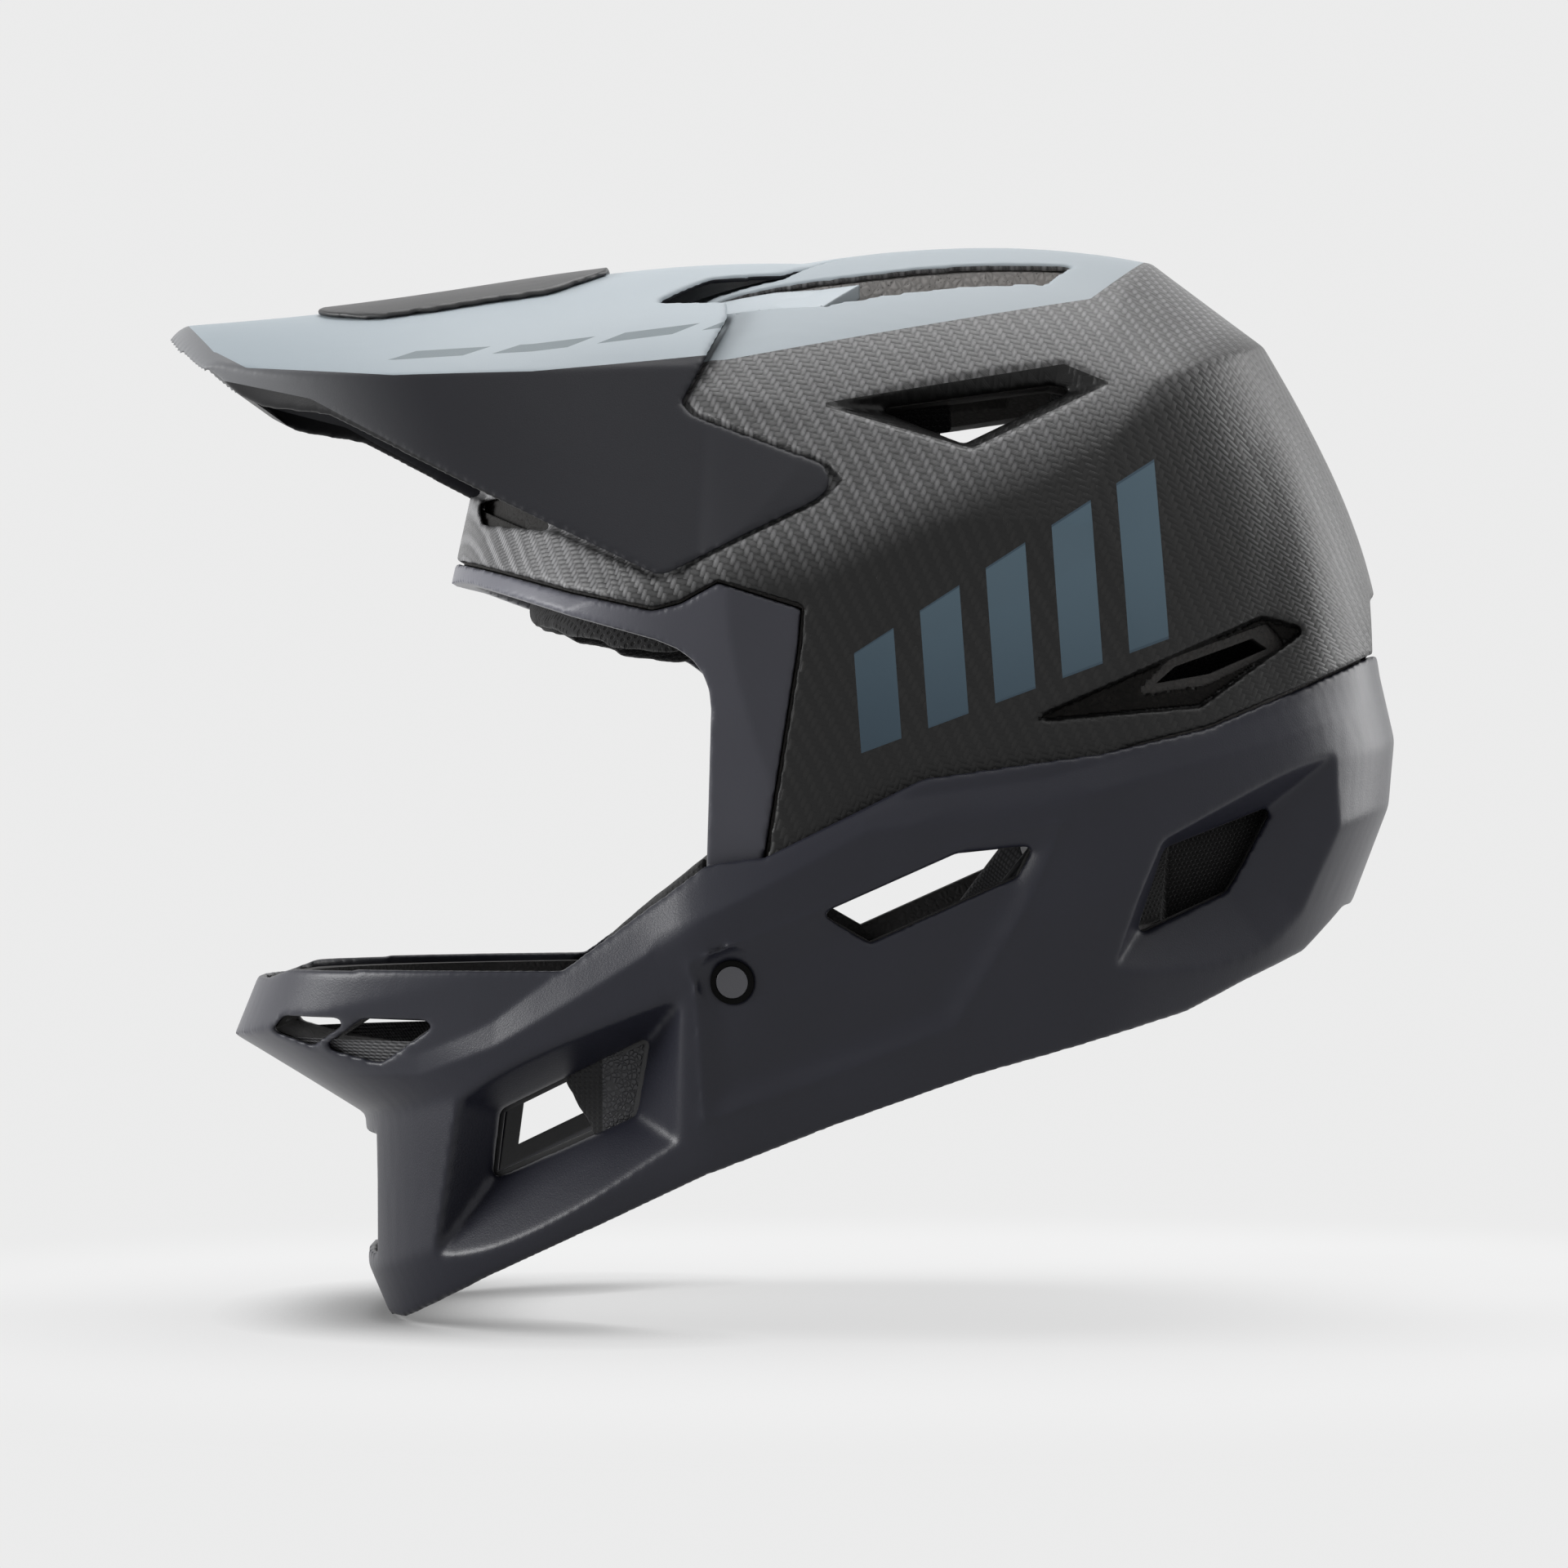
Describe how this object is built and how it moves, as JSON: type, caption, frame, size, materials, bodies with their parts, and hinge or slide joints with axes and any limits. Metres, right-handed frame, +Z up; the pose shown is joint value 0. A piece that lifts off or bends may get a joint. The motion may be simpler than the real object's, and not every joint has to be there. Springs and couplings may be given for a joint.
{
  "type": "downhill bike full face helmet",
  "caption": "Full face bicycle helmet: crown shell over a jaw shell with chin bar, long visor peak, foam liners, comfort pads and a buckled chin strap.",
  "frame": {"origin": "middle of the wearer's head inside the helmet", "axes": "+Z up with the helmet level as worn, -X the way the wearer faces, -Y the wearer's left"},
  "size_m": [0.3659, 0.238, 0.3169],
  "materials": {
    "carbon_shell": "woven carbon fibre under a satin clear coat, light blue paint on top",
    "jaw_paint": "matte dark grey paint",
    "frame_rubber": "matte dark grey moulding",
    "blue_paint": "matte light blue paint",
    "black_plastic": "black moulded plastic",
    "grey_foam": "expanded polystyrene, dark grey beads",
    "black_rubber": "black rubber",
    "mesh": "woven grey mesh",
    "pad_fabric": "black knitted mesh fabric over foam",
    "pad_leather": "dark synthetic leather over foam",
    "webbing": "black woven polyester webbing",
    "steel": "brushed steel",
    "screw_paint": "dark grey painted screw head"
  },
  "bodies": {
    "helmet": {"upper_shell": "carbon_shell", "lower_shell": "jaw_paint", "eyeport_frame": "frame_rubber", "vent_ramps": "blue_paint", "crown_liner": "grey_foam", "jaw_liner_left": "grey_foam", "jaw_liner_right": "grey_foam", "chin_liner": "grey_foam", "mouth_grille": "black_plastic", "beak_mesh": "mesh", "window_trims": "black_rubber", "cheek_screws": "screw_paint", "cheek_washers": "black_plastic", "brow_pad": "pad_fabric", "crown_pad": "pad_fabric", "rear_pad": "pad_fabric", "cheek_pad_left": "pad_leather", "cheek_pad_right": "pad_leather", "neck_roll": "pad_fabric", "prong_bushes": "black_rubber", "strap_left": "webbing", "strap_right": "webbing", "strap_anchors": "steel", "buckle_housing": "black_plastic", "buckle_pin": "steel", "buckle_tongue": "black_plastic"},
    "visor": {"visor_peak": "blue_paint", "visor_spine": "black_plastic", "visor_prongs": "black_plastic"},
    "buckle_lever": {"buckle_lever": "black_plastic"}
  },
  "joints": [
    {"name": "visor_release", "type": "slide", "parent": "helmet", "child": "visor", "axis": [-1, 0, 0], "range_m": [0, 0.06]},
    {"name": "buckle_lever_hinge", "type": "hinge", "parent": "helmet", "child": "buckle_lever", "pos_m": [-0.00248, -0.041, -0.08834], "axis": [-0.7907, 0, 0.6122], "range_deg": [0, 35], "stiffness_Nm_per_rad": 0.02, "springref_deg": -11.46}
  ]
}
